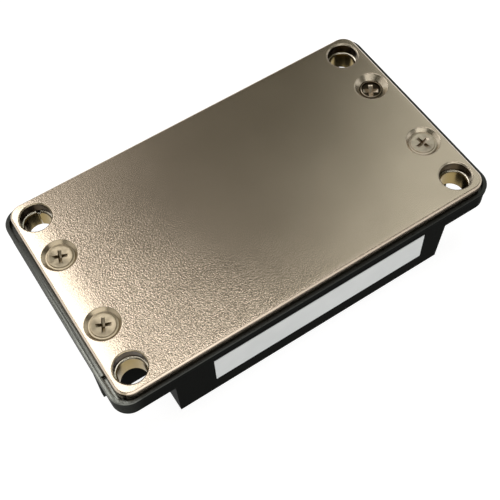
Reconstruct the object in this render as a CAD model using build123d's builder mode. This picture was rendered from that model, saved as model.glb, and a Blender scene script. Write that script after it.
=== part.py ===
from build123d import *
import math
import os

os.makedirs("parts", exist_ok=True)

# Power module lying on its terminal face, baseplate upwards, sizes in millimetres.
# The origin is the middle of the footprint, X runs along the long side and Z points
# from the terminal face to the heat sink face of the baseplate.

# Overall height and baseplate
module_height = 22.0
plate_length = 104.0
plate_width = 59.6
plate_thickness = 3.0
plate_corner_radius = 3.6
plate_edge_chamfer = 0.4

# Mounting holes and the steel ferrules under them
mount_edge_x = 5.5
mount_edge_y = 5.8
plate_hole_diameter = 8.0
plate_hole_chamfer = 0.3
ferrule_bore = 7.0
ferrule_diameter = 10.0
ferrule_stand = 0.2

# Countersunk screws that hold the frame to the baseplate
screw_edge_x = 5.5
screw_pitch_y = 22.0
screw_shank_diameter = 3.5
screw_shank_length = 9.2
screw_clearance_diameter = 4.2
countersink_diameter = 8.9
screw_head_sink = 0.6
low_screw_head_sink = 1.1
cross_recess_length = 4.2
cross_recess_width = 1.0
cross_recess_depth = 1.5
screw_hole_clearance = 0.05

# Frame: rim round the plate, corner pads and full height body
plate_end_gap = 0.15
plate_side_gap = 0.45
rim_ledge_x = 1.85
rim_ledge_y = 0.75
rim_corner_radius = 5.0
rim_drop = 2.4
rim_height = 1.2
rim_edge_chamfer = 0.25
wall_inset_x = 0.2
wall_inset_y = 0.4
wall_corner_radius = 4.5
flange_depth = 8.5
corner_relief_gap = 0.95
corner_relief_reach = 8.5
corner_relief_depth = 0.6
body_end_wall = 3.1
body_right_draft = 4.5
bolt_head_room = 6.0
end_block_inset = 2.6
end_rib_lift = 1.5
end_rib_width = 1.4
sealing_land_x = 15.6
sealing_land_y = 2.6
bead_offset = 0.7
bead_width = 1.2
bead_thickness = 0.4

# Lid let into the terminal face
lid_thickness = 2.6
lid_ledge = 1.0
lid_clearance = 0.1
lid_corner_radius = 1.2
nut_tower_size = 15.0
nut_tower_wall = 1.1
groove_width = 2.4
groove_depth = 1.2
groove_length = 44.0

# Screw terminals and their nuts
terminal_edge = 3.9
terminal_width = 15.0
terminal_half_length = 9.5
terminal_thickness = 1.2
terminal_sink = 0.0
terminal_hole_diameter = 6.6
terminal_neck_width = 8.0
terminal_bend_radius = 1.0
terminal_clearance = 0.3
output_foot_width = 14.0
foot_length = 5.0
nut_across_flats = 10.0
nut_height = 5.0
nut_bore = 5.0
nut_clearance = 0.1
screw_run_out = 4.0
screw_run_out_across_flats = 7.0

# Control pins in the recess of each end block
pin_recess_wall = 2.0
pin_recess_length = 8.0
pin_recess_width = 14.0
pin_recess_depth = 8.0
pin_pitch = 7.6
pin_tab_width = 2.8
pin_tab_tip = 0.8
pin_tab_chamfer = 0.6
pin_thickness = 0.5
pin_arm_height = 1.4
pin_arm_cover = 4.2
pin_riser_width = 1.0

# Ceramic substrates with their copper, chips and bond wires
ceramic_end_gap = 0.9
ceramic_side_gap = 4.2
ceramic_thickness = 0.64
ceramic_gap = 3.0
copper_thickness = 0.3
copper_margin = 1.0
island_gap = 0.9
control_strip_width = 1.2
chip_gap = 0.4
igbt_size = 9.5
diode_size = 7.0
chip_thickness = 0.2
chip_margin = 0.4
chip_row_inset = 8.0
chip_row_pitch = 13.0
wire_width = 0.3
wire_foot = 0.6
wire_loop = 2.1
power_wire_pitch = 3.4
control_wire_offset = 4.0
gel_above_towers = 1.5

# Label on the long side
label_length = 61.5
label_height = 10.1
label_thickness = 0.12
label_offset_x = 1.75
label_below_plate = 6.4

# Levels worked out from the sizes above
plate_face = module_height
plate_back = plate_face - plate_thickness
mount_pitch_x = plate_length - 2 * mount_edge_x
mount_pitch_y = plate_width - 2 * mount_edge_y
screw_pitch_x = plate_length - 2 * screw_edge_x
rim_length = plate_length + 2 * plate_end_gap + 2 * rim_ledge_x
rim_width = plate_width + 2 * plate_side_gap + 2 * rim_ledge_y
rim_face = plate_face - rim_drop
rim_under = rim_face - rim_height
flange_under = plate_face - flange_depth
wall_length = rim_length - 2 * wall_inset_x
wall_width = rim_width - 2 * wall_inset_y
cavity_length = plate_length - 2 * sealing_land_x
cavity_width = plate_width - 2 * sealing_land_y
body_length = cavity_length + 2 * body_end_wall
body_width = wall_width
end_block_width = mount_pitch_y - 2 * bolt_head_room
corner_relief_start = plate_width / 2 - corner_relief_reach
lid_length = cavity_length + 2 * lid_ledge
lid_width = cavity_width + 2 * lid_ledge
terminal_pitch = (lid_length - terminal_width) / 2 - terminal_edge
ceramic_length = (cavity_length - ceramic_gap) / 2 - ceramic_end_gap
ceramic_width = cavity_width - 2 * ceramic_side_gap
collector_width = igbt_size + diode_size + chip_gap + 2 * chip_margin
ceramic_top = plate_back - copper_thickness
circuit_top = ceramic_top - ceramic_thickness
circuit_face = circuit_top - copper_thickness
chip_face = circuit_face - chip_thickness
pad_outer = terminal_sink
pad_inner = terminal_sink + terminal_thickness
nut_top = pad_inner + nut_height
tower_top = nut_top + screw_run_out + nut_tower_wall
gel_face = tower_top + gel_above_towers
pin_centre = body_length / 2 + pin_recess_wall + pin_recess_length / 2
pin_arm_under = pin_recess_depth + pin_arm_cover
pin_arm_top = pin_arm_under + pin_arm_height
substrate_centre = (ceramic_gap + ceramic_length) / 2
first_chip_row = copper_margin + chip_row_inset - ceramic_width / 2
chip_rows = [first_chip_row + i * chip_row_pitch for i in range(2)]
terminal_places = [-terminal_pitch, 0, terminal_pitch]


def copper_spans(side):
    """Centre and width along X of each copper island, from the lower X edge upwards."""
    emitter_width = (
        ceramic_length
        - 2 * copper_margin
        - 2 * control_strip_width
        - collector_width
        - 3 * island_gap
    )
    strips = [("sense", control_strip_width), ("gate", control_strip_width)]
    power = [("collector", collector_width), ("emitter", emitter_width)]
    order = strips + power if side < 0 else power + strips[::-1]
    edge = side * substrate_centre - ceramic_length / 2 + copper_margin
    spans = {}
    for island, width in order:
        spans[island] = (edge + width / 2, width)
        edge += width + island_gap
    return spans


def chip_centres(side):
    """X of the diode column and of the transistor column on one substrate."""
    centre, width = copper_spans(side)["collector"]
    diode_x = centre - width / 2 + chip_margin + diode_size / 2
    igbt_x = centre + width / 2 - chip_margin - igbt_size / 2
    return diode_x, igbt_x


def wire_outline(feet):
    """Closed outline in XZ of one bond wire that is stitched down at each foot."""
    path = []
    for index, (x, z) in enumerate(feet):
        path.append((x - wire_foot, z))
        path.append((x + wire_foot, z))
        if index < len(feet) - 1:
            next_x, next_z = feet[index + 1]
            path.append(((x + next_x) / 2, (z + next_z) / 2 - wire_loop))
    return path + [(x, z - wire_width) for x, z in reversed(path)]


def pin_outline(side, pin):
    """Closed outline in XZ of a stamped control pin, from its tab to its foot."""
    strip_x = abs(copper_spans(side)[pin][0])
    outer = pin_centre + pin_tab_width / 2
    inner = pin_centre - pin_tab_width / 2
    points = [
        (outer - pin_tab_chamfer, pin_tab_tip),
        (outer, pin_tab_tip + pin_tab_chamfer),
        (outer, pin_arm_top),
        (strip_x + pin_riser_width / 2, pin_arm_top),
        (strip_x + pin_riser_width / 2, circuit_face),
        (strip_x - pin_riser_width / 2, circuit_face),
        (strip_x - pin_riser_width / 2, pin_arm_under),
        (inner, pin_arm_under),
        (inner, pin_tab_tip + pin_tab_chamfer),
        (inner + pin_tab_chamfer, pin_tab_tip),
    ]
    return [(side * x, z) for x, z in points]


# Every piece that the silicone gel flows round is kept here until the gel is made
potted_pieces = []

# The four control pins: end of the module, kind and place across the recess
pin_list = [
    (side, pin, place * pin_pitch / 2)
    for side in (-1, 1)
    for pin, place in (("gate", 1), ("sense", -1))
]
side_names = {-1: "left", 1: "right"}


# Baseplate: nickel plated copper, four plain holes and four countersunk ones
with BuildPart() as baseplate:
    with BuildSketch(Plane.XY.offset(plate_back)):
        RectangleRounded(plate_length, plate_width, plate_corner_radius)
    extrude(amount=plate_thickness)
    chamfer(baseplate.faces().sort_by(Axis.Z)[-1].edges(), plate_edge_chamfer)
    with Locations(Plane.XY.offset(plate_face)):
        with GridLocations(mount_pitch_x, mount_pitch_y, 2, 2):
            Hole(plate_hole_diameter / 2)
        with GridLocations(screw_pitch_x, screw_pitch_y, 2, 2):
            CounterSinkHole(screw_clearance_diameter / 2, countersink_diameter / 2, counter_sink_angle=90)
    mount_rims = (
        baseplate.faces().sort_by(Axis.Z)[-1].edges().filter_by(GeomType.CIRCLE)
        .filter_by(lambda edge: abs(edge.radius - plate_hole_diameter / 2) < plate_hole_chamfer)
        .filter_by(lambda edge: abs(abs(edge.arc_center.Y) - mount_pitch_y / 2) < plate_hole_diameter)
    )
    chamfer(mount_rims, plate_hole_chamfer)
baseplate.part.label = "baseplate"
export_step(baseplate.part, "parts/baseplate.step")


# Frame: one black moulding with the rim, the four corner pads and the body walls
with BuildPart() as housing_frame:
    # Full height body, upright at its left end and leaning inwards at its right end
    right_lean = flange_under * math.tan(math.radians(body_right_draft))
    with BuildSketch(Plane.XZ):
        with BuildLine():
            Polyline(
                (body_length / 2, rim_under),
                (body_length / 2, flange_under),
                (body_length / 2 - right_lean, 0),
                (-body_length / 2, 0),
                (-body_length / 2, rim_under),
                close=True,
            )
        make_face()
    extrude(amount=body_width / 2, both=True)

    # Corner pads and rim
    with BuildSketch(Plane.XY.offset(flange_under)):
        RectangleRounded(wall_length, wall_width, wall_corner_radius)
    extrude(amount=rim_under - flange_under)
    with BuildSketch(Plane.XY.offset(rim_under)):
        RectangleRounded(rim_length, rim_width, rim_corner_radius)
    extrude(amount=rim_height)
    chamfer(housing_frame.faces().sort_by(Axis.Z)[-1].edges(), rim_edge_chamfer)

    # End blocks between the corner pads, each with one upright rib at opposite corners
    with BuildSketch(Plane.XY):
        Rectangle(wall_length - 2 * end_block_inset, end_block_width)
    extrude(amount=rim_under)
    rib_x = (wall_length - end_block_inset - end_rib_width) / 2
    rib_y = (end_block_width - end_rib_width) / 2
    with BuildSketch(Plane.XY.offset(end_rib_lift)):
        with Locations((-rib_x, -rib_y), (rib_x, rib_y)):
            Rectangle(end_block_inset + end_rib_width, end_rib_width)
    extrude(amount=rim_under - end_rib_lift)

    # Cavity for the circuit, seat for the lid and recess for the baseplate
    with BuildSketch(Plane.XY):
        RectangleRounded(lid_length + 2 * lid_clearance, lid_width + 2 * lid_clearance, lid_corner_radius)
    extrude(amount=lid_thickness, mode=Mode.SUBTRACT)
    with BuildSketch(Plane.XY.offset(lid_thickness)):
        Rectangle(cavity_length, cavity_width)
    extrude(amount=module_height, mode=Mode.SUBTRACT)
    with BuildSketch(Plane.XY.offset(plate_back)):
        RectangleRounded(
            plate_length + 2 * plate_end_gap, plate_width + 2 * plate_side_gap, plate_corner_radius
        )
    extrude(amount=plate_thickness, mode=Mode.SUBTRACT)

    # The gap widens round each plate corner
    relief_length = plate_length + 2 * corner_relief_gap
    relief_width = plate_width + 2 * plate_side_gap
    with BuildSketch(Plane.XY.offset(plate_back - corner_relief_depth)):
        RectangleRounded(relief_length, relief_width, plate_corner_radius + corner_relief_gap)
        RectangleRounded(
            plate_length - 2 * corner_relief_gap,
            plate_width - 2 * corner_relief_gap,
            plate_corner_radius,
            mode=Mode.SUBTRACT,
        )
        Rectangle(relief_length, 2 * corner_relief_start, mode=Mode.SUBTRACT)
        Rectangle(plate_length - 2 * plate_corner_radius, relief_width, mode=Mode.SUBTRACT)
    extrude(amount=plate_thickness, mode=Mode.SUBTRACT)

    # Groove for the sealing bead
    with BuildSketch(Plane.XY.offset(plate_back - bead_thickness)):
        Rectangle(
            cavity_length + 2 * (bead_offset + bead_width), cavity_width + 2 * (bead_offset + bead_width)
        )
        Rectangle(cavity_length + 2 * bead_offset, cavity_width + 2 * bead_offset, mode=Mode.SUBTRACT)
    extrude(amount=bead_thickness, mode=Mode.SUBTRACT)

    # Ferrule bores through the pads and screw holes in the end blocks
    with Locations(Plane.XY.offset(plate_back)):
        with GridLocations(mount_pitch_x, mount_pitch_y, 2, 2):
            Hole(ferrule_diameter / 2, depth=plate_back - flange_under)
        with GridLocations(screw_pitch_x, screw_pitch_y, 2, 2):
            Hole(screw_shank_diameter / 2 + screw_hole_clearance, depth=screw_shank_length)

    # Recess for the control pins at each end, and the slots that the pins are moulded into
    with BuildSketch(Plane.XY):
        with GridLocations(2 * pin_centre, 0, 2, 1):
            Rectangle(pin_recess_length, pin_recess_width)
    extrude(amount=pin_recess_depth, mode=Mode.SUBTRACT)
    for side, pin, place in pin_list:
        with BuildSketch(Plane.XZ.offset(-place)):
            with BuildLine():
                Polyline(*pin_outline(side, pin), close=True)
            make_face()
        extrude(amount=pin_thickness / 2, both=True, mode=Mode.SUBTRACT)
housing_frame.part.label = "housing_frame"
export_step(housing_frame.part, "parts/housing_frame.step")


# Ferrules: steel sleeves pressed into the pads, clamped between bolt head and baseplate
ferrule_places = {
    "front_left": (-1, -1),
    "front_right": (1, -1),
    "rear_left": (-1, 1),
    "rear_right": (1, 1),
}
for place_name, (sign_x, sign_y) in ferrule_places.items():
    ferrule_x = sign_x * mount_pitch_x / 2
    ferrule_y = sign_y * mount_pitch_y / 2
    with BuildPart() as ferrule:
        with BuildSketch(Plane((ferrule_x, ferrule_y, flange_under - ferrule_stand))):
            Circle(ferrule_diameter / 2)
            Circle(ferrule_bore / 2, mode=Mode.SUBTRACT)
        extrude(amount=plate_back - flange_under + ferrule_stand)
    ferrule.part.label = "ferrule_" + place_name
    export_step(ferrule.part, "parts/ferrule_" + place_name + ".step")


# Frame screws: four countersunk cross recess screws, the rear right one driven deeper
with BuildPart() as frame_screws:
    for sign_x, sign_y in ferrule_places.values():
        deep = sign_x > 0 and sign_y > 0
        sink = low_screw_head_sink if deep else screw_head_sink
        head_radius = countersink_diameter / 2 - sink
        shank_radius = screw_shank_diameter / 2
        head_face = plate_face - sink
        shank_end = plate_back - screw_shank_length
        screw_axis = Plane(
            (sign_x * screw_pitch_x / 2, sign_y * screw_pitch_y / 2, 0), x_dir=(1, 0, 0), z_dir=(0, -1, 0)
        )
        with BuildSketch(screw_axis):
            with BuildLine():
                Polyline(
                    (0, head_face),
                    (head_radius, head_face),
                    (shank_radius, head_face - head_radius + shank_radius),
                    (shank_radius, shank_end),
                    (0, shank_end),
                    close=True,
                )
            make_face()
        revolve(axis=Axis((sign_x * screw_pitch_x / 2, sign_y * screw_pitch_y / 2, 0), (0, 0, 1)))
        recess_plane = Plane(
            (sign_x * screw_pitch_x / 2, sign_y * screw_pitch_y / 2, head_face - cross_recess_depth)
        )
        with BuildSketch(recess_plane):
            Rectangle(cross_recess_length, cross_recess_width)
            Rectangle(cross_recess_width, cross_recess_length)
        extrude(amount=cross_recess_depth, mode=Mode.SUBTRACT)
frame_screws.part.label = "frame_screws"
export_step(frame_screws.part, "parts/frame_screws.step")


# Sealing bead: cured adhesive in the groove between frame and baseplate
with BuildPart() as sealing_bead:
    with BuildSketch(Plane.XY.offset(plate_back - bead_thickness)):
        Rectangle(
            cavity_length + 2 * (bead_offset + bead_width), cavity_width + 2 * (bead_offset + bead_width)
        )
        Rectangle(cavity_length + 2 * bead_offset, cavity_width + 2 * bead_offset, mode=Mode.SUBTRACT)
    extrude(amount=bead_thickness)
sealing_bead.part.label = "sealing_bead"
export_step(sealing_bead.part, "parts/sealing_bead.step")


# Lid: black moulding with a well for each terminal and a tower behind it for the nut
with BuildPart() as lid:
    with BuildSketch(Plane.XY):
        RectangleRounded(lid_length, lid_width, lid_corner_radius)
    extrude(amount=lid_thickness)
    with BuildSketch(Plane.XY.offset(lid_thickness)):
        with GridLocations(terminal_pitch, 0, 3, 1):
            Rectangle(nut_tower_size, nut_tower_size)
    extrude(amount=tower_top - lid_thickness)
    with BuildSketch(Plane.XY):
        with GridLocations(terminal_pitch, 0, 3, 1):
            Rectangle(terminal_width + 2 * terminal_clearance, 2 * terminal_half_length + 2 * terminal_clearance)
    extrude(amount=pad_inner, mode=Mode.SUBTRACT)
    with BuildSketch(Plane.XY.offset(pad_inner)):
        with Locations((0, terminal_half_length - terminal_thickness / 2)):
            with GridLocations(terminal_pitch, 0, 3, 1):
                Rectangle(
                    terminal_neck_width + 2 * terminal_clearance,
                    terminal_thickness + 2 * terminal_clearance,
                )
    extrude(amount=lid_thickness, mode=Mode.SUBTRACT)
    with BuildSketch(Plane.XY.offset(pad_inner)):
        with GridLocations(terminal_pitch, 0, 3, 1):
            RegularPolygon(nut_across_flats / 2 + nut_clearance, 6, major_radius=False)
    extrude(amount=nut_height, mode=Mode.SUBTRACT)
    with BuildSketch(Plane.XY.offset(nut_top)):
        with GridLocations(terminal_pitch, 0, 3, 1):
            RegularPolygon(screw_run_out_across_flats / 2, 6, major_radius=False)
    extrude(amount=screw_run_out, mode=Mode.SUBTRACT)
    with BuildSketch(Plane.XY):
        with GridLocations(terminal_pitch, 0, 2, 1):
            SlotOverall(groove_length, groove_width, rotation=90)
    extrude(amount=groove_depth, mode=Mode.SUBTRACT)
lid.part.label = "lid"
export_step(lid.part, "parts/lid.step")


# Terminal nuts: loose hexagon nuts trapped under the terminal tabs
with BuildPart() as terminal_nuts:
    with BuildSketch(Plane.XY.offset(pad_inner)):
        with GridLocations(terminal_pitch, 0, 3, 1):
            RegularPolygon(nut_across_flats / 2, 6, major_radius=False)
            Circle(nut_bore / 2, mode=Mode.SUBTRACT)
    extrude(amount=nut_height)
terminal_nuts.part.label = "terminal_nuts"
export_step(terminal_nuts.part, "parts/terminal_nuts.step")


# Busbars: bent copper strips from the terminal tabs down to the substrates
busbar_names = ["busbar_positive", "busbar_output", "busbar_negative"]
busbar_feet = [terminal_neck_width, output_foot_width, terminal_neck_width]
for busbar_name, foot_width, terminal_x in zip(busbar_names, busbar_feet, terminal_places):
    riser_inner = terminal_half_length - terminal_thickness
    foot_end = terminal_half_length + foot_length
    foot_under = circuit_face - terminal_thickness
    with BuildPart() as busbar:
        with BuildSketch(Plane.YZ.offset(terminal_x)):
            with BuildLine():
                Polyline(
                    (-terminal_half_length, pad_outer),
                    (terminal_half_length, pad_outer),
                    (terminal_half_length, foot_under),
                    (foot_end, foot_under),
                    (foot_end, circuit_face),
                    (riser_inner, circuit_face),
                    (riser_inner, pad_inner),
                    (-terminal_half_length, pad_inner),
                    close=True,
                )
            make_face()
        extrude(amount=terminal_neck_width / 2, both=True)
        outer_bend = (
            busbar.edges().filter_by(Axis.X)
            .filter_by(lambda edge: abs(edge.center().Y - terminal_half_length) < terminal_thickness / 2)
            .filter_by(lambda edge: edge.center().Z < pad_inner)
        )
        fillet(outer_bend, terminal_bend_radius)
        with BuildSketch(Plane.XY.offset(pad_outer)):
            with Locations((terminal_x, -terminal_bend_radius / 2)):
                Rectangle(terminal_width, 2 * terminal_half_length - terminal_bend_radius)
        extrude(amount=terminal_thickness)
        with BuildSketch(Plane.XY.offset(foot_under)):
            with Locations((terminal_x, terminal_half_length + foot_length / 2)):
                Rectangle(foot_width, foot_length)
        extrude(amount=terminal_thickness)
        with Locations((terminal_x, 0, pad_outer)):
            Hole(terminal_hole_diameter / 2)
    busbar.part.label = busbar_name
    potted_pieces.append(busbar.part)
    export_step(busbar.part, "parts/" + busbar_name + ".step")


# Control pins: flat stampings with a tab outside and a foot on the copper inside
for side, pin, place in pin_list:
    with BuildPart() as control_pin:
        with BuildSketch(Plane.XZ.offset(-place)):
            with BuildLine():
                Polyline(*pin_outline(side, pin), close=True)
            make_face()
        extrude(amount=pin_thickness / 2, both=True)
    pin_name = pin + "_pin_" + side_names[side]
    control_pin.part.label = pin_name
    potted_pieces.append(control_pin.part)
    export_step(control_pin.part, "parts/" + pin_name + ".step")


# Substrates: ceramic tile, plain copper on the baseplate side, islands on the other
for side in (-1, 1):
    side_name = side_names[side]
    with BuildPart() as back_copper:
        with BuildSketch(Plane.XY.offset(ceramic_top)):
            with Locations((side * substrate_centre, 0)):
                Rectangle(ceramic_length - 2 * copper_margin, ceramic_width - 2 * copper_margin)
        extrude(amount=copper_thickness)
    back_copper.part.label = "back_copper_" + side_name
    potted_pieces.append(back_copper.part)
    export_step(back_copper.part, "parts/back_copper_" + side_name + ".step")

    with BuildPart() as ceramic:
        with BuildSketch(Plane.XY.offset(circuit_top)):
            with Locations((side * substrate_centre, 0)):
                Rectangle(ceramic_length, ceramic_width)
        extrude(amount=ceramic_thickness)
    ceramic.part.label = "ceramic_" + side_name
    potted_pieces.append(ceramic.part)
    export_step(ceramic.part, "parts/ceramic_" + side_name + ".step")

    with BuildPart() as circuit_copper:
        with BuildSketch(Plane.XY.offset(circuit_face)):
            for island_x, island_width in copper_spans(side).values():
                with Locations((island_x, 0)):
                    Rectangle(island_width, ceramic_width - 2 * copper_margin)
        extrude(amount=copper_thickness)
    circuit_copper.part.label = "circuit_copper_" + side_name
    potted_pieces.append(circuit_copper.part)
    export_step(circuit_copper.part, "parts/circuit_copper_" + side_name + ".step")

    # Chips: one diode and one transistor in each row
    diode_x, igbt_x = chip_centres(side)
    for row, row_y in enumerate(chip_rows, start=1):
        for chip_name, chip_x, chip_size in (("diode", diode_x, diode_size), ("igbt", igbt_x, igbt_size)):
            with BuildPart() as chip:
                with BuildSketch(Plane.XY.offset(chip_face)):
                    with Locations((chip_x, row_y)):
                        Rectangle(chip_size, chip_size)
                extrude(amount=chip_thickness)
            node_name = f"{chip_name}_chip_{side_name}_{row}"
            chip.part.label = node_name
            potted_pieces.append(chip.part)
            export_step(chip.part, "parts/" + node_name + ".step")

    # Bond wires: two stitched across each row, one gate and one sense wire beside them
    with BuildPart() as bond_wires:
        spans = copper_spans(side)
        for row_y in chip_rows:
            power_feet = [
                (diode_x, chip_face),
                (igbt_x, chip_face),
                (spans["emitter"][0], circuit_face),
            ]
            wire_list = [(row_y + i * power_wire_pitch / 2, power_feet) for i in (-1, 1)]
            for strip, direction in (("gate", 1), ("sense", -1)):
                control_feet = sorted([(igbt_x, chip_face), (spans[strip][0], circuit_face)])
                wire_list.append((row_y + direction * control_wire_offset, control_feet))
            for wire_y, feet in wire_list:
                with BuildSketch(Plane.XZ.offset(-wire_y)):
                    with BuildLine():
                        Polyline(*wire_outline(feet), close=True)
                    make_face()
                extrude(amount=wire_width / 2, both=True)
    bond_wires.part.label = "bond_wires_" + side_name
    potted_pieces.append(bond_wires.part)
    export_step(bond_wires.part, "parts/bond_wires_" + side_name + ".step")


# Silicone gel: fills the cavity round the circuit, from the baseplate to its free level
with BuildPart() as silicone_gel:
    with BuildSketch(Plane.XY.offset(gel_face)):
        Rectangle(cavity_length, cavity_width)
    extrude(amount=plate_back - gel_face)
    for piece in potted_pieces:
        add(piece, mode=Mode.SUBTRACT)
silicone_gel.part.label = "silicone_gel"
export_step(silicone_gel.part, "parts/silicone_gel.step")


# Label: plain pale film on the long side, across the body and the wall of the frame
with BuildPart() as label:
    with BuildSketch(Plane.XZ.offset(body_width / 2)):
        with Locations((label_offset_x, plate_face - label_below_plate - label_height / 2)):
            Rectangle(label_length, label_height)
    extrude(amount=label_thickness)
label.part.label = "label"
export_step(label.part, "parts/label.step")
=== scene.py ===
import math

import bmesh
import bpy
from mathutils import Matrix, Vector


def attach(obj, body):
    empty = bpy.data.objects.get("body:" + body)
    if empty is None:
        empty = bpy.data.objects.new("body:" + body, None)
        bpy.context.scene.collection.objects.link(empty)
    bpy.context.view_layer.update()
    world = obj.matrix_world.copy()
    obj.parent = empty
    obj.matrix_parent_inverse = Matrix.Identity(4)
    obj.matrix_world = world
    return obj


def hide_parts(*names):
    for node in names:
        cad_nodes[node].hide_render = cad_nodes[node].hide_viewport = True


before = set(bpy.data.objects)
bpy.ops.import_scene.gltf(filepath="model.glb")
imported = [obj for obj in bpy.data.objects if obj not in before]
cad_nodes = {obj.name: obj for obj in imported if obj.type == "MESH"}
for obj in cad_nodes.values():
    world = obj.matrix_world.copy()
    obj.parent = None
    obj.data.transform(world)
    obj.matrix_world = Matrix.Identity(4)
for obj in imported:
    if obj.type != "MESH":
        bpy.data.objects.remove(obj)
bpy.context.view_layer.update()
MM = 0.001


# Baseplate
# A 3 mm copper plate, nickel plated, whose heat sink face is blasted with fine beads. The
# blasting leaves a grain of a few tenths of a millimetre that sparkles where a lamp is mirrored.
def start_finish(name, metallic, roughness):
    """A new material with its shader, and the piece's own coordinates for its pattern."""
    finish = bpy.data.materials.new(name)
    finish.use_nodes = True
    shader = finish.node_tree.nodes["Principled BSDF"]
    shader.inputs["Metallic"].default_value = metallic
    shader.inputs["Roughness"].default_value = roughness
    place = finish.node_tree.nodes.new("ShaderNodeTexCoord").outputs["Object"]
    return finish, shader, place


def grain(finish, place, per_metre, detail=2.0, stretch=(1, 1, 1)):
    """A cloudy pattern of the given fineness, about 0 to 1."""
    tree = finish.node_tree
    mapping = tree.nodes.new("ShaderNodeMapping")
    mapping.inputs["Scale"].default_value = stretch
    noise = tree.nodes.new("ShaderNodeTexNoise")
    noise.inputs["Scale"].default_value = per_metre
    noise.inputs["Detail"].default_value = detail
    tree.links.new(place, mapping.inputs["Vector"])
    tree.links.new(mapping.outputs["Vector"], noise.inputs["Vector"])
    return noise.outputs["Fac"]


def colour_between(finish, shader, pattern, stops):
    """The base colour runs through the stops, each a place from 0 to 1 and a colour."""
    tree = finish.node_tree
    ramp = tree.nodes.new("ShaderNodeValToRGB")
    elements = ramp.color_ramp.elements
    while len(elements) < len(stops):
        elements.new(0.5)
    for element, (position, colour) in zip(elements, stops):
        element.position = position
        element.color = (*colour, 1)
    tree.links.new(pattern, ramp.inputs["Fac"])
    tree.links.new(ramp.outputs["Color"], shader.inputs["Base Color"])


def relief(finish, shader, pattern, depth):
    """The pattern raises the surface by up to depth. A second relief goes on top of the first."""
    tree = finish.node_tree
    bump = tree.nodes.new("ShaderNodeBump")
    bump.inputs["Strength"].default_value = 1.0
    bump.inputs["Distance"].default_value = depth
    below = shader.inputs["Normal"].links
    if below:
        tree.links.new(below[0].from_socket, bump.inputs["Normal"])
    tree.links.new(pattern, bump.inputs["Height"])
    tree.links.new(bump.outputs["Normal"], shader.inputs["Normal"])


def soften_edges(finish, shader, radius):
    """Edges catch the light as if rounded to that radius. Gives the way the faces then point."""
    tree = finish.node_tree
    edge = tree.nodes.new("ShaderNodeBevel")
    edge.samples = 6
    edge.inputs["Radius"].default_value = radius
    tree.links.new(edge.outputs["Normal"], shader.inputs["Normal"])
    return edge.outputs["Normal"]


def together(finish, operation, first, second):
    """Two patterns joined by an operation of the Math node. The second may be a number."""
    tree = finish.node_tree
    joined = tree.nodes.new("ShaderNodeMath")
    joined.operation = operation
    tree.links.new(first, joined.inputs[0])
    if isinstance(second, float):
        joined.inputs[1].default_value = second
    else:
        tree.links.new(second, joined.inputs[1])
    return joined.outputs["Value"]


def overlap(finish, *patterns):
    """The patterns multiplied: 1 only where every one of them is 1."""
    product = patterns[0]
    for pattern in patterns[1:]:
        product = together(finish, "MULTIPLY", product, pattern)
    return product


def opposite(finish, pattern):
    """1 minus the pattern."""
    return together(finish, "MULTIPLY", together(finish, "SUBTRACT", pattern, 1.0), -1.0)


def rising_between(finish, pattern, low, high):
    """0 where the pattern is below low, 1 where it is above high."""
    span = finish.node_tree.nodes.new("ShaderNodeMapRange")
    span.inputs["From Min"].default_value = low
    span.inputs["From Max"].default_value = high
    finish.node_tree.links.new(pattern, span.inputs["Value"])
    return span.outputs["Result"]


def slope_along(finish, place, direction, start, end):
    """0 up to start and 1 from end on, measured in metres along the direction."""
    along = finish.node_tree.nodes.new("ShaderNodeVectorMath")
    along.operation = "DOT_PRODUCT"
    along.inputs[1].default_value = direction
    finish.node_tree.links.new(place, along.inputs[0])
    return rising_between(finish, along.outputs["Value"], start, end)


def upward_part(finish, direction_of_face, low, high):
    """0 on faces that rise less than low, 1 on those that rise more than high."""
    parts = finish.node_tree.nodes.new("ShaderNodeSeparateXYZ")
    finish.node_tree.links.new(direction_of_face, parts.inputs["Vector"])
    return rising_between(finish, parts.outputs["Z"], low, high)


def steep_part(finish, low, high):
    """1 on faces that rise less than low, 0 on those that rise more than high."""
    shape = finish.node_tree.nodes.new("ShaderNodeNewGeometry")
    return opposite(finish, upward_part(finish, shape.outputs["True Normal"], low, high))


def within(finish, place, half_x, half_y):
    """1 inside that half length and half width, 0 outside."""
    parts = finish.node_tree.nodes.new("ShaderNodeSeparateXYZ")
    finish.node_tree.links.new(place, parts.inputs["Vector"])
    from_middle_x = together(finish, "ABSOLUTE", parts.outputs["X"], 0.0)
    from_middle_y = together(finish, "ABSOLUTE", parts.outputs["Y"], 0.0)
    inside_x = together(finish, "LESS_THAN", from_middle_x, half_x)
    inside_y = together(finish, "LESS_THAN", from_middle_y, half_y)
    return overlap(finish, inside_x, inside_y)


def tint_where(finish, shader, pattern, tint):
    """The base colour is multiplied by the tint where the pattern is 1."""
    tree = finish.node_tree
    mix = tree.nodes.new("ShaderNodeMix")
    mix.data_type = "RGBA"
    mix.blend_type = "MULTIPLY"
    tint_socket = next(item for item in mix.inputs if item.name == "B" and item.type == "RGBA")
    under_socket = next(item for item in mix.inputs if item.name == "A" and item.type == "RGBA")
    result = next(item for item in mix.outputs if item.type == "RGBA")
    tint_socket.default_value = (*tint, 1)
    tree.links.new(pattern, mix.inputs["Factor"])
    tree.links.new(shader.inputs["Base Color"].links[0].from_socket, under_socket)
    tree.links.new(result, shader.inputs["Base Color"])


def dress(name, finish):
    """A CAD piece keeps its shape and gets the finish."""
    materials = cad_nodes[name].data.materials
    materials.clear()
    materials.append(finish)


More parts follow.
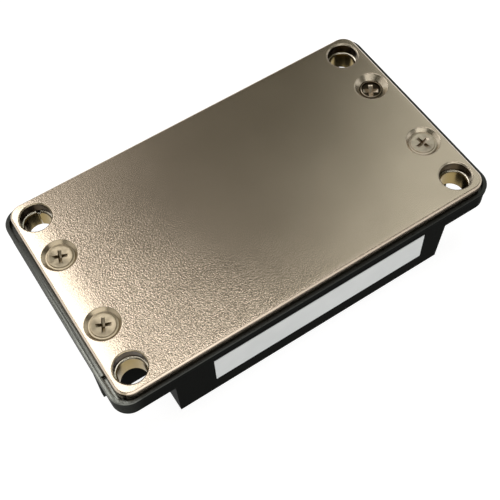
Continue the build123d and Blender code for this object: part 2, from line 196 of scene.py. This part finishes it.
plate_half_length = 52 * MM
plate_half_width = 29.8 * MM
plate_nickel, plate_shader, plate_place = start_finish("plate_nickel", metallic=1.0, roughness=0.27)
colour_between(plate_nickel, plate_shader, grain(plate_nickel, plate_place, per_metre=45), [
    (0.35, (0.60, 0.50, 0.39)),
    (0.65, (0.67, 0.56, 0.44)),
])
plate_direction = soften_edges(plate_nickel, plate_shader, radius=0.35 * MM)

# Painted shade: the upright hole walls are dark and the countersinks a little darker than the
# face, most at the left. The outer edges of the plate keep the colour of its face
outer_band = 0.7 * MM
inside_plate = within(
    plate_nickel, plate_place, plate_half_length - outer_band, plate_half_width - outer_band,
)
hole_walls_painted_shade = overlap(plate_nickel, inside_plate, steep_part(plate_nickel, 0.25, 0.5))
tint_where(plate_nickel, plate_shader, hole_walls_painted_shade, (0.14, 0.11, 0.07))
sinks_and_walls_painted_shade = overlap(plate_nickel, inside_plate, steep_part(plate_nickel, 0.8, 0.95))
tint_where(plate_nickel, plate_shader, sinks_and_walls_painted_shade, (0.84, 0.88, 0.86))
left_of_plate = slope_along(plate_nickel, plate_place, (-1, 0, 0), 30 * MM, 35 * MM)
left_end_painted_shade = overlap(plate_nickel, sinks_and_walls_painted_shade, left_of_plate)
tint_where(plate_nickel, plate_shader, left_end_painted_shade, (0.78, 0.74, 0.66))

# The face rolls off towards the plate's edges, widest at the left end
for direction, half_size, roll_width, roll_depth in (
    ((-1, 0, 0), plate_half_length, 8.5 * MM, 0.45 * MM),
    ((1, 0, 0), plate_half_length, 2 * MM, 0.05 * MM),
    ((0, -1, 0), plate_half_width, 1.5 * MM, 0.04 * MM),
    ((0, 1, 0), plate_half_width, 1.5 * MM, 0.04 * MM),
):
    towards_edge = slope_along(plate_nickel, plate_place, direction, half_size - roll_width, half_size)
    roll_off = together(plate_nickel, "POWER", towards_edge, 2.0)
    relief(plate_nickel, plate_shader, together(plate_nickel, "MULTIPLY", roll_off, -1.0), roll_depth)

# The blasted grain is strongest at the front left and fades out at the left end
front_left_side = slope_along(plate_nickel, plate_place, (-0.7, -0.5, 0), 2 * MM, 26 * MM)
off_left_end = slope_along(plate_nickel, plate_place, (1, 0, 0), -50.5 * MM, -44 * MM)
flat_face = upward_part(plate_nickel, plate_direction, 0.97, 0.995)
blast_force = overlap(plate_nickel, front_left_side, off_left_end, flat_face)
blast_beads = grain(plate_nickel, plate_place, per_metre=3300, detail=1)
relief(plate_nickel, plate_shader, overlap(plate_nickel, blast_beads, blast_force), depth=0.06 * MM)
fine_grain = grain(plate_nickel, plate_place, per_metre=2600)
relief(plate_nickel, plate_shader, fine_grain, depth=0.006 * MM)
speck_pattern = grain(plate_nickel, plate_place, per_metre=2900, detail=1)
blast_specks = overlap(plate_nickel, rising_between(plate_nickel, speck_pattern, 0.5, 0.66), blast_force)
tint_where(plate_nickel, plate_shader, blast_specks, (0.55, 0.53, 0.5))
dress("baseplate", plate_nickel)


# Housing frame
# One black moulding of glass filled polyester: the rim round the plate, the corner pads, the end
# blocks and the body walls. The plate lies in its rim, held by the four frame screws.
def roughness_between(finish, shader, pattern, low, high):
    """The roughness follows the pattern from low to high."""
    tree = finish.node_tree
    span = tree.nodes.new("ShaderNodeMapRange")
    span.inputs["From Min"].default_value = 0.3
    span.inputs["From Max"].default_value = 0.7
    span.inputs["To Min"].default_value = low
    span.inputs["To Max"].default_value = high
    tree.links.new(pattern, span.inputs["Value"])
    tree.links.new(span.outputs["Result"], shader.inputs["Roughness"])


case_black, case_shader, case_place = start_finish("case_black", metallic=0.0, roughness=0.3)
# The left ledge is painted paler than the rest of the rim, a painted highlight
left_ledge_highlight = slope_along(case_black, case_place, (-1, -0.1, 0), 50.5 * MM, 56 * MM)
colour_between(case_black, case_shader, left_ledge_highlight, [
    (0.0, (0.045, 0.046, 0.042)),
    (1.0, (0.220, 0.224, 0.200)),
])
case_texture = grain(case_black, case_place, per_metre=2600)
roughness_between(case_black, case_shader, case_texture, 0.26, 0.34)
case_shader.inputs["Specular IOR Level"].default_value = 0.001
case_direction = soften_edges(case_black, case_shader, radius=0.25 * MM)
# The top of the rim and its rounded edges mirror the lamps. All other faces are matt and darker
rising_faces = upward_part(case_black, case_direction, 0.3, 0.6)
top_of_case = slope_along(case_black, case_place, (0, 0, 1), 15.5 * MM, 16.5 * MM)
glossy_skin = overlap(case_black, rising_faces, top_of_case)
case_black.node_tree.links.new(glossy_skin, case_shader.inputs["Metallic"])
tint_where(case_black, case_shader, opposite(case_black, glossy_skin), (0.2, 0.205, 0.205))
relief(case_black, case_shader, case_texture, depth=0.005 * MM)
# Long streaks run down the left ledge
ledge_streaks = grain(case_black, case_place, per_metre=1500, detail=1, stretch=(1, 0.03, 1))
relief(case_black, case_shader, overlap(case_black, ledge_streaks, left_ledge_highlight), depth=0.16 * MM)
dress("housing_frame", case_black)


# Lid
# A black cover of the same polyester with towers for the terminal nuts. It is let into a ledge of
# the housing frame on the terminal side, and its skin is a shade rougher than the frame's.
lid_black, lid_shader, lid_place = start_finish("lid_black", metallic=0.0, roughness=0.5)
colour_between(lid_black, lid_shader, grain(lid_black, lid_place, per_metre=250), [
    (0.3, (0.012, 0.012, 0.013)),
    (0.7, (0.022, 0.022, 0.022)),
])
lid_shader.inputs["Specular IOR Level"].default_value = 0.12
soften_edges(lid_black, lid_shader, radius=0.25 * MM)
relief(lid_black, lid_shader, grain(lid_black, lid_place, per_metre=2000), depth=0.012 * MM)
dress("lid", lid_black)


# Label
# A strip of pale film with a satin face and nothing on it. It is stuck to the long side of the
# housing frame.
label_film, label_shader, label_place = start_finish("label_film", metallic=0.0, roughness=0.35)
colour_between(label_film, label_shader, grain(label_film, label_place, per_metre=120), [
    (0.3, (0.74, 0.76, 0.755)),
    (0.7, (0.79, 0.81, 0.805)),
])
relief(label_film, label_shader, grain(label_film, label_place, per_metre=1500), depth=0.006 * MM)
dress("label", label_film)


# Ferrules
# Steel sleeves in the corner pads that carry the mounting screws. Each is rolled from strip, so a
# narrow seam is left down one side, and its ends are rounded. Zinc plated with a warm passivation.
def surface_of(mesh_under_work, name, finish, sharp_from=35):
    """An object with that mesh in the finish, smooth up to a turn of sharp_from degrees."""
    bmesh.ops.remove_doubles(mesh_under_work, verts=mesh_under_work.verts, dist=0.001 * MM)
    bmesh.ops.recalc_face_normals(mesh_under_work, faces=mesh_under_work.faces)
    for face in mesh_under_work.faces:
        face.smooth = True
    data = bpy.data.meshes.new(name)
    mesh_under_work.to_mesh(data)
    mesh_under_work.free()
    data.set_sharp_from_angle(angle=math.radians(sharp_from))
    data.materials.append(finish)
    piece = bpy.data.objects.new(name, data)
    bpy.context.scene.collection.objects.link(piece)
    return piece


def lathe_profile(mesh_under_work, points, centre, start_turn, turn, steps):
    """A closed profile of (radius, height) points swept round an upright axis."""
    rim = [mesh_under_work.verts.new((radius, 0, height)) for radius, height in points]
    outline = mesh_under_work.faces.new(rim)
    bmesh.ops.rotate(
        mesh_under_work,
        verts=rim,
        cent=(0, 0, 0),
        matrix=Matrix.Rotation(math.radians(start_turn), 3, "Z"),
    )
    bmesh.ops.spin(
        mesh_under_work,
        geom=[outline, *outline.edges, *rim],
        cent=(0, 0, 0),
        axis=(0, 0, 1),
        dvec=(0, 0, 0),
        angle=math.radians(turn),
        steps=steps,
        use_duplicate=False,
    )
    bmesh.ops.translate(mesh_under_work, verts=mesh_under_work.verts, vec=centre)


ferrule_zinc, ferrule_shader, ferrule_place = start_finish("ferrule_zinc", metallic=1.0, roughness=0.24)
drawn_streaks = grain(ferrule_zinc, ferrule_place, per_metre=500, stretch=(1, 1, 0.2))
colour_between(ferrule_zinc, ferrule_shader, drawn_streaks, [
    (0.3, (0.66, 0.60, 0.48)),
    (0.7, (0.78, 0.72, 0.60)),
])
# Painted shade: the upright walls, the bore most of all, are tinted a darker brown
tint_where(ferrule_zinc, ferrule_shader, steep_part(ferrule_zinc, 0.1, 0.4), (0.42, 0.34, 0.17))

ferrule_foot = 13.3 * MM
ferrule_head = 19.0 * MM
bore_radius = 3.5 * MM
sleeve_radius = 5.0 * MM
sleeve_round = 0.15 * MM
ferrule_profile = [
    (bore_radius, ferrule_foot + 0.2 * MM),
    (bore_radius, ferrule_head - 0.5 * MM),
    (bore_radius + 0.04 * MM, ferrule_head - 0.28 * MM),
    (bore_radius + 0.15 * MM, ferrule_head - 0.1 * MM),
    (bore_radius + 0.35 * MM, ferrule_head),
    (sleeve_radius - sleeve_round, ferrule_head),
    (sleeve_radius, ferrule_head - sleeve_round),
    (sleeve_radius, ferrule_foot + sleeve_round),
    (sleeve_radius - sleeve_round, ferrule_foot),
    (bore_radius + 0.2 * MM, ferrule_foot),
]
sleeve_steps = 96
# The widths of seam and notch are angles in degrees
seam_width = 3
notch_width = 15
notch_depth = 0.8 * MM
notch_reach = 0.6 * MM
for corner, place_x, place_y, seam_side in (
    ("front_left", -46.5, -24, 265),
    ("front_right", 46.5, -24, 280),
    ("rear_left", -46.5, 24, 64),
    ("rear_right", 46.5, 24, 250),
):
    centre = Vector((place_x * MM, place_y * MM, 0))
    sleeve_mesh = bmesh.new()
    lathe_profile(
        sleeve_mesh,
        ferrule_profile,
        centre,
        start_turn=seam_side + seam_width / 2,
        turn=360 - seam_width,
        steps=sleeve_steps,
    )
    # The strip's corners are clipped, which leaves a notch over the seam
    seam_way = Vector((math.cos(math.radians(seam_side)), math.sin(math.radians(seam_side))))
    notch_verts = [
        vert for vert in sleeve_mesh.verts
        if vert.co.z > ferrule_head - notch_reach
        and (vert.co - centre).xy.normalized().dot(seam_way) > math.cos(math.radians(notch_width / 2))
    ]
    bmesh.ops.translate(sleeve_mesh, verts=notch_verts, vec=(0, 0, -notch_depth))
    sleeve = surface_of(sleeve_mesh, "rolled_sleeve_" + corner, ferrule_zinc)
    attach(sleeve, "root")
    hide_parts("ferrule_" + corner)


# Frame screws
# Countersunk cross recess screws of zinc plated steel. The head is turned with a raised disc in
# its middle and a shallow step round it, and the recess is struck cold, tapering to its floor.
def struck_recess(mesh_under_work, reach, arm_width, depth):
    """A cross shaped recess in the plane z = 0 whose arms slope to the middle. Gives its mouth."""
    floor_share = 0.5
    arm_end_share = 0.75
    arm_end_depth = 0.3 * depth
    tip_depth = 0.3 * depth
    # The inner lines of the grid, at a third of the reach, move to the sides of the arms
    bmesh.ops.create_grid(mesh_under_work, x_segments=3, y_segments=3, size=reach)
    squeeze = 1.5 * arm_width / reach
    for vert in mesh_under_work.verts:
        if abs(vert.co.x) < 0.9 * reach:
            vert.co.x *= squeeze
        if abs(vert.co.y) < 0.9 * reach:
            vert.co.y *= squeeze
    corners = [
        face for face in mesh_under_work.faces
        if min(abs(face.calc_center_median().x), abs(face.calc_center_median().y)) > arm_width / 2
    ]
    bmesh.ops.delete(mesh_under_work, geom=corners, context="FACES")
    mouth_faces = list(mesh_under_work.faces)
    floor_part = bmesh.ops.extrude_face_region(mesh_under_work, geom=mouth_faces)["geom"]
    floor_verts = [item for item in floor_part if isinstance(item, bmesh.types.BMVert)]
    bmesh.ops.delete(
        mesh_under_work, geom=[face for face in mouth_faces if face.is_valid], context="FACES_ONLY"
    )
    middle = [vert for vert in floor_verts if max(abs(vert.co.x), abs(vert.co.y)) < arm_width]
    ends = [vert for vert in floor_verts if vert not in middle]
    bmesh.ops.scale(mesh_under_work, verts=middle, vec=(floor_share, floor_share, 1))
    bmesh.ops.translate(mesh_under_work, verts=middle, vec=(0, 0, -depth))
    bmesh.ops.scale(mesh_under_work, verts=ends, vec=(arm_end_share, arm_end_share, 1))
    bmesh.ops.translate(mesh_under_work, verts=ends, vec=(0, 0, -arm_end_depth))
    pit = min(mesh_under_work.faces, key=lambda face: face.calc_center_median().z)
    tip = bmesh.ops.poke(mesh_under_work, faces=[pit])["verts"]
    bmesh.ops.translate(mesh_under_work, verts=tip, vec=(0, 0, -tip_depth))
    loose = [edge for edge in mesh_under_work.edges if not edge.link_faces]
    bmesh.ops.delete(mesh_under_work, geom=loose, context="EDGES")
    return [edge for edge in mesh_under_work.edges if edge.is_boundary]


screw_zinc, screw_shader, screw_place = start_finish("screw_zinc", metallic=1.0, roughness=0.38)
colour_between(screw_zinc, screw_shader, grain(screw_zinc, screw_place, per_metre=900), [
    (0.3, (0.54, 0.46, 0.36)),
    (0.7, (0.68, 0.59, 0.47)),
])
# Painted shade: the rear right screw gets a bright cross on a dark ground, the others a dark cross
# in a pale head
rear_right = slope_along(screw_zinc, screw_place, (1, 1, 0), 45 * MM, 50 * MM)
other_slopes_painted_shade = overlap(screw_zinc, steep_part(screw_zinc, 0.3, 0.75), opposite(screw_zinc, rear_right))
tint_where(screw_zinc, screw_shader, other_slopes_painted_shade, (0.46, 0.42, 0.34))
above_cross = slope_along(screw_zinc, screw_place, (0, 0, 1), 20.1 * MM, 20.15 * MM)
above_land = slope_along(screw_zinc, screw_place, (0, 0, 1), 20.7 * MM, 20.85 * MM)
land_painted_shade = overlap(screw_zinc, rear_right, above_cross, opposite(screw_zinc, above_land))
tint_where(screw_zinc, screw_shader, land_painted_shade, (0.08, 0.07, 0.055))
# The left pair is painted duller, a painted shade
left_pair_painted_shade = slope_along(screw_zinc, screw_place, (-1, 0, 0), 30 * MM, 35 * MM)
tint_where(screw_zinc, screw_shader, left_pair_painted_shade, (0.74, 0.72, 0.64))
relief(screw_zinc, screw_shader, grain(screw_zinc, screw_place, per_metre=1500), depth=0.008 * MM)

# Sizes in millimetres. The land is the ground round the cross, and heights count from the disc
cross_reach = 2.1
cross_depth = 1.1
disc_share = 0.78
skirt_height = 0.4
shank_radius = 1.75
tip_radius = 1.4
tip_length = 0.4
shank_foot = 9.8
head_steps = 48
screws_mesh = bmesh.new()
for screw_x, screw_y, head_top, head_radius, land_radius, land_height, arm_width, recess_turn in (
    (-46.5, -11, 21.4, 3.85, 2.95, 0, 0.9, -26),
    (-46.5, 11, 21.4, 3.85, 2.95, 0, 0.9, -22),
    (46.5, -11, 21.4, 3.85, 2.95, 0, 0.9, 10),
    (46.5, 11, 20.9, 3.35, 2.45, -0.7, 1.25, -33),
):
    one_screw = bmesh.new()
    mouth = struck_recess(one_screw, cross_reach * MM, arm_width * MM, cross_depth * MM)
    land = bmesh.ops.create_circle(
        one_screw, cap_ends=False, segments=head_steps, radius=land_radius * MM
    )["verts"]
    bmesh.ops.translate(one_screw, verts=one_screw.verts, vec=(0, 0, land_height * MM))
    ring = list({edge for vert in land for edge in vert.link_edges})
    bmesh.ops.triangle_fill(one_screw, edges=mouth + ring, use_beauty=True, normal=(0, 0, 1))
    # From the land outwards over the disc and the step, then down the cone and the shank
    disc_radius = disc_share * head_radius
    radius_now = land_radius
    height_now = land_height
    for radius, height in (
        (disc_radius, 0),
        (disc_radius + 0.08, -0.03),
        (disc_radius + 0.16, -0.12),
        (disc_radius + 0.2, -0.22),
        (head_radius - 0.12, -0.26),
        (head_radius - 0.03, -0.3),
        (head_radius - 0.02, -skirt_height),
        (shank_radius, -skirt_height - head_radius + shank_radius),
        (shank_radius, shank_foot + tip_length - head_top),
        (tip_radius, shank_foot - head_top),
    ):
        grown = bmesh.ops.extrude_edge_only(one_screw, edges=ring)["geom"]
        ring = [item for item in grown if isinstance(item, bmesh.types.BMEdge)]
        ring_verts = list({vert for edge in ring for vert in edge.verts})
        share = radius / radius_now
        bmesh.ops.scale(one_screw, verts=ring_verts, vec=(share, share, 1))
        bmesh.ops.translate(one_screw, verts=ring_verts, vec=(0, 0, (height - height_now) * MM))
        radius_now = radius
        height_now = height
    bmesh.ops.contextual_create(one_screw, geom=ring)
    bmesh.ops.rotate(
        one_screw,
        verts=one_screw.verts,
        cent=(0, 0, 0),
        matrix=Matrix.Rotation(math.radians(recess_turn), 3, "Z"),
    )
    screw_place_mm = Vector((screw_x, screw_y, head_top))
    bmesh.ops.translate(one_screw, verts=one_screw.verts, vec=screw_place_mm * MM)
    screw_data = bpy.data.meshes.new("one_screw")
    one_screw.to_mesh(screw_data)
    one_screw.free()
    screws_mesh.from_mesh(screw_data)
    bpy.data.meshes.remove(screw_data)
screws = surface_of(screws_mesh, "cross_recess_screws", screw_zinc)
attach(screws, "root")
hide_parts("frame_screws")


# Circuit, terminals and seals
# Ceramic tiles with copper on both faces carry the chips, which are wired in aluminium under clear
# gel. Tin plated strips and pins lead out to the terminal side, and a bead of sealant closes the
# joint between plate and housing frame.
inner_ends = ("left_1", "left_2", "right_1", "right_2")
inner_pieces = {
    "copper_satin": [
        "back_copper_left", "back_copper_right", "circuit_copper_left", "circuit_copper_right",
    ],
    "tin_satin": [
        "busbar_positive", "busbar_output", "busbar_negative", "terminal_nuts",
        "gate_pin_left", "gate_pin_right", "sense_pin_left", "sense_pin_right",
    ],
    "ceramic_fired": ["ceramic_left", "ceramic_right"],
    "chip_metal": [kind + "_chip_" + end for kind in ("igbt", "diode") for end in inner_ends],
    "wire_bright": ["bond_wires_left", "bond_wires_right"],
    "gel_soft": ["silicone_gel"],
    "bead_grey": ["sealing_bead"],
}
for finish_name, metallic, roughness, dark, light in (
    ("copper_satin", 1.0, 0.3, (0.75, 0.42, 0.28), (0.84, 0.52, 0.36)),
    ("tin_satin", 1.0, 0.3, (0.66, 0.64, 0.6), (0.76, 0.74, 0.7)),
    ("ceramic_fired", 0.0, 0.55, (0.80, 0.79, 0.75), (0.88, 0.87, 0.83)),
    ("chip_metal", 1.0, 0.25, (0.36, 0.37, 0.42), (0.46, 0.47, 0.52)),
    ("wire_bright", 1.0, 0.2, (0.82, 0.82, 0.82), (0.9, 0.9, 0.9)),
    ("gel_soft", 0.0, 0.12, (0.66, 0.7, 0.72), (0.72, 0.76, 0.78)),
    ("bead_grey", 0.0, 0.6, (0.2, 0.2, 0.2), (0.28, 0.28, 0.28)),
):
    inner_finish, inner_shader, inner_place = start_finish(finish_name, metallic, roughness)
    inner_clouds = grain(inner_finish, inner_place, per_metre=350)
    colour_between(inner_finish, inner_shader, inner_clouds, [(0.3, dark), (0.7, light)])
    for piece_name in inner_pieces[finish_name]:
        dress(piece_name, inner_finish)


# Studio
# A plain white table under a few large soft lamps and a dark ceiling. None of it is part of the
# module.
def lamp(name, azimuth, elevation, across, up, level, colour=(1, 1, 1)):
    """A rectangular soft lamp 1 m away in that direction, as wide and high as the angles say."""
    data = bpy.data.lights.new(name, "AREA")
    data.shape = "RECTANGLE"
    data.color = colour
    data.size = 2 * math.tan(math.radians(across) / 2)
    data.size_y = 2 * math.tan(math.radians(up) / 2)
    data.energy = level * math.pi * data.size * data.size_y
    turn = math.radians(azimuth)
    lift = math.radians(elevation)
    away = Vector((math.sin(turn) * math.cos(lift), math.cos(turn) * math.cos(lift), math.sin(lift)))
    light = bpy.data.objects.new(name, data)
    light.location = away
    light.rotation_mode = "QUATERNION"
    light.rotation_quaternion = away.to_track_quat("Z", "Y")
    bpy.context.scene.collection.objects.link(light)


lamp("left", azimuth=-38, elevation=42, across=60, up=42, level=0.62, colour=(1, 0.97, 0.96))
lamp("key", azimuth=-17, elevation=54, across=12, up=34, level=3.4)
lamp("right", azimuth=63, elevation=48, across=20, up=34, level=0.84, colour=(0.93, 1, 0.96))
lamp("overhead", azimuth=20, elevation=84, across=38, up=20, level=2.3)
lamp("front", azimuth=200, elevation=30, across=60, up=30, level=1.4)
lamp("below", azimuth=160, elevation=-42, across=60, up=60, level=0.8)


def backdrop_seen(finish):
    """1 for what the camera, a reflection or a clear piece shows of the backdrop, otherwise 0."""
    paths = finish.node_tree.nodes.new("ShaderNodeLightPath")
    seen = together(finish, "MAXIMUM", paths.outputs["Is Camera Ray"], paths.outputs["Is Glossy Ray"])
    return together(finish, "MAXIMUM", seen, paths.outputs["Is Transmission Ray"])


def blend_surfaces(finish, share, first, second):
    """The first surface, with that share of the second."""
    blend = finish.node_tree.nodes.new("ShaderNodeMixShader")
    finish.node_tree.links.new(share, blend.inputs["Fac"])
    finish.node_tree.links.new(first, blend.inputs[1])
    finish.node_tree.links.new(second, blend.inputs[2])
    return blend.outputs["Shader"]


def level_sheet(name, half_size, height, finish):
    """A square sheet of the studio, level at that height."""
    sheet_mesh = bmesh.new()
    bmesh.ops.create_grid(sheet_mesh, x_segments=1, y_segments=1, size=half_size)
    bmesh.ops.translate(sheet_mesh, verts=sheet_mesh.verts, vec=(0, 0, height))
    data = bpy.data.meshes.new(name)
    sheet_mesh.to_mesh(data)
    sheet_mesh.free()
    data.materials.append(finish)
    sheet = bpy.data.objects.new(name, data)
    bpy.context.scene.collection.objects.link(sheet)
    return sheet


# The world gives a soft light and is seen as white
world = bpy.data.worlds.new("studio")
world.use_nodes = True
bpy.context.scene.world = world
soft_light = world.node_tree.nodes["Background"]
soft_light.inputs["Color"].default_value = (1, 1, 1, 1)
soft_light.inputs["Strength"].default_value = 0.4
white = world.node_tree.nodes.new("ShaderNodeBackground")
white.inputs["Color"].default_value = (1, 1, 1, 1)
white.inputs["Strength"].default_value = 1.0
world_light = blend_surfaces(
    world, backdrop_seen(world), soft_light.outputs["Background"], white.outputs["Background"],
)
world.node_tree.links.new(world_light, world.node_tree.nodes["World Output"].inputs["Surface"])

# The table is white and takes the shadow. It lets light and sight through from beneath, so that
# the terminal face can be looked at
table_white = bpy.data.materials.new("table_white")
table_white.use_nodes = True
table_nodes = table_white.node_tree.nodes
table_nodes["Principled BSDF"].inputs["Base Color"].default_value = (0.9, 0.9, 0.9, 1)
table_nodes["Principled BSDF"].inputs["Roughness"].default_value = 0.9
table_glow = table_nodes.new("ShaderNodeEmission")
table_glow.inputs["Strength"].default_value = 1.5
glow_share = together(table_white, "MULTIPLY", backdrop_seen(table_white), 0.6)
table_top = blend_surfaces(
    table_white, glow_share, table_nodes["Principled BSDF"].outputs["BSDF"], table_glow.outputs["Emission"],
)
table_clear = table_nodes.new("ShaderNodeBsdfTransparent")
table_side = table_nodes.new("ShaderNodeNewGeometry")
table_rays = table_nodes.new("ShaderNodeLightPath")
from_beneath = together(
    table_white, "MAXIMUM", table_side.outputs["Backfacing"], table_rays.outputs["Is Shadow Ray"],
)
table_surface = blend_surfaces(table_white, from_beneath, table_top, table_clear.outputs["BSDF"])
table_white.node_tree.links.new(table_surface, table_nodes["Material Output"].inputs["Surface"])
table = level_sheet("table", half_size=3.0, height=-0.05 * MM, finish=table_white)

# A dark ceiling above the lamps, which the plate mirrors between them. The camera sees it white
ceiling_dark = bpy.data.materials.new("ceiling_dark")
ceiling_dark.use_nodes = True
ceiling_nodes = ceiling_dark.node_tree.nodes
ceiling_nodes["Principled BSDF"].inputs["Base Color"].default_value = (0.058, 0.052, 0.012, 1)
ceiling_nodes["Principled BSDF"].inputs["Roughness"].default_value = 0.9
ceiling_white = ceiling_nodes.new("ShaderNodeEmission")
ceiling_rays = ceiling_nodes.new("ShaderNodeLightPath")
ceiling_surface = blend_surfaces(
    ceiling_dark,
    ceiling_rays.outputs["Is Camera Ray"],
    ceiling_nodes["Principled BSDF"].outputs["BSDF"],
    ceiling_white.outputs["Emission"],
)
ceiling_dark.node_tree.links.new(ceiling_surface, ceiling_nodes["Material Output"].inputs["Surface"])
ceiling = level_sheet("ceiling", half_size=2.5, height=1.2, finish=ceiling_dark)

bpy.context.scene.view_settings.view_transform = "Standard"


# Camera
# It stands where the photograph was taken from, in front of the module, to its left and high up.
# Its place was fitted to the corners and holes of the plate.
camera_data = bpy.data.cameras.new("camera")
camera_data.sensor_width = 36
camera_data.lens = 67.35
camera_data.clip_start = 0.01
camera = bpy.data.objects.new("camera", camera_data)
bpy.context.scene.collection.objects.link(camera)
camera_right = Vector((0.83926, -0.54283, -0.03119))
camera_up = Vector((0.48134, 0.71505, 0.50697))
camera_back = Vector((-0.25289, -0.44049, 0.8614))
camera_place = Vector((-64.34, -112.07, 214.95)) * MM
camera_turn = Matrix((camera_right, camera_up, camera_back)).transposed().to_4x4()
camera.matrix_world = Matrix.Translation(camera_place) @ camera_turn
bpy.context.scene.camera = camera
